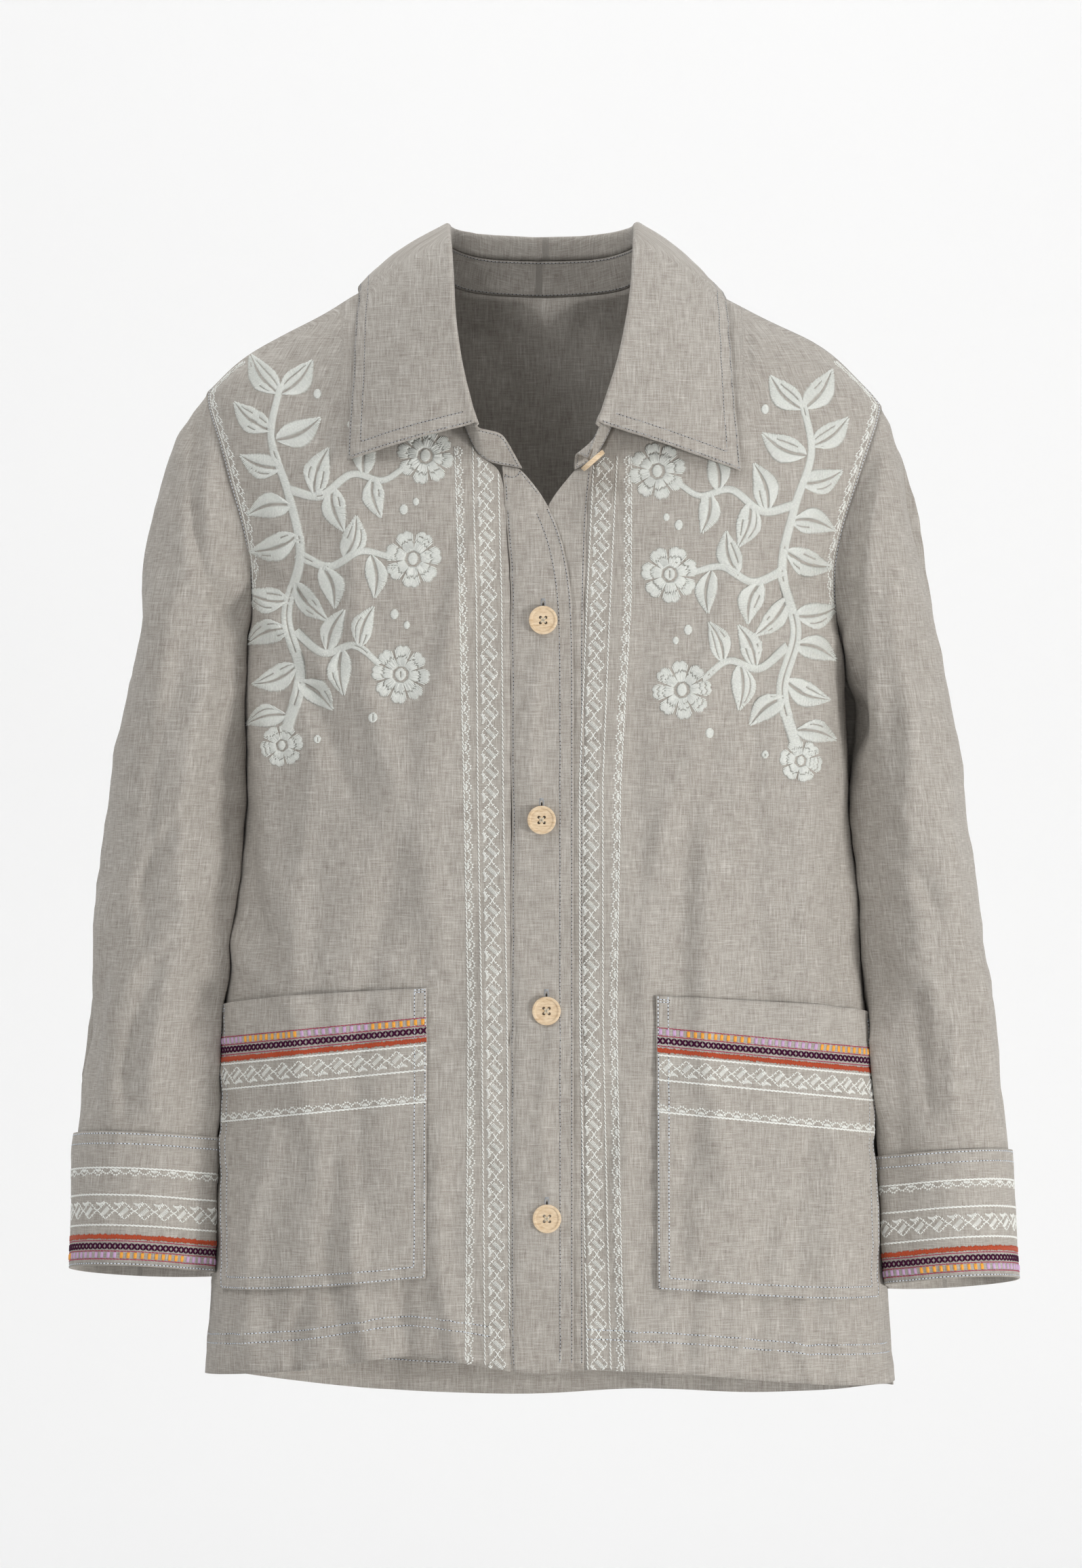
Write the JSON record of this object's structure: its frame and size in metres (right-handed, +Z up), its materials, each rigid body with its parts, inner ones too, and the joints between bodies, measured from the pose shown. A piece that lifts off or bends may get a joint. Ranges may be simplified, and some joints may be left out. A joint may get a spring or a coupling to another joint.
{
  "type": "embroidered linen jacket",
  "caption": "Linen jacket with folded collar, buttoned placket, patch pockets, banded cuffs and embroidery, filled out and hollow.",
  "frame": {"origin": "middle of the neck and shoulders, level with the back neck seam", "axes": "+Z up through the neck, the buttoned front faces -Y, +X to the right as seen from the front"},
  "size_m": [0.6199, 0.2132, 0.7729],
  "materials": {
    "linen": "matt",
    "button_wood": "satin"
  },
  "bodies": {
    "root": {"back": "linen", "front_left": "linen", "front_right": "linen", "placket": "linen", "button_stand": "linen", "collar_stand": "linen", "collar": "linen", "sleeve_left": "linen", "sleeve_right": "linen", "cuff_left": "linen", "cuff_right": "linen", "pocket_left": "linen", "pocket_right": "linen", "button_1": "button_wood", "button_2": "button_wood", "button_3": "button_wood", "button_4": "button_wood", "button_5": "button_wood"}
  },
  "joints": []
}
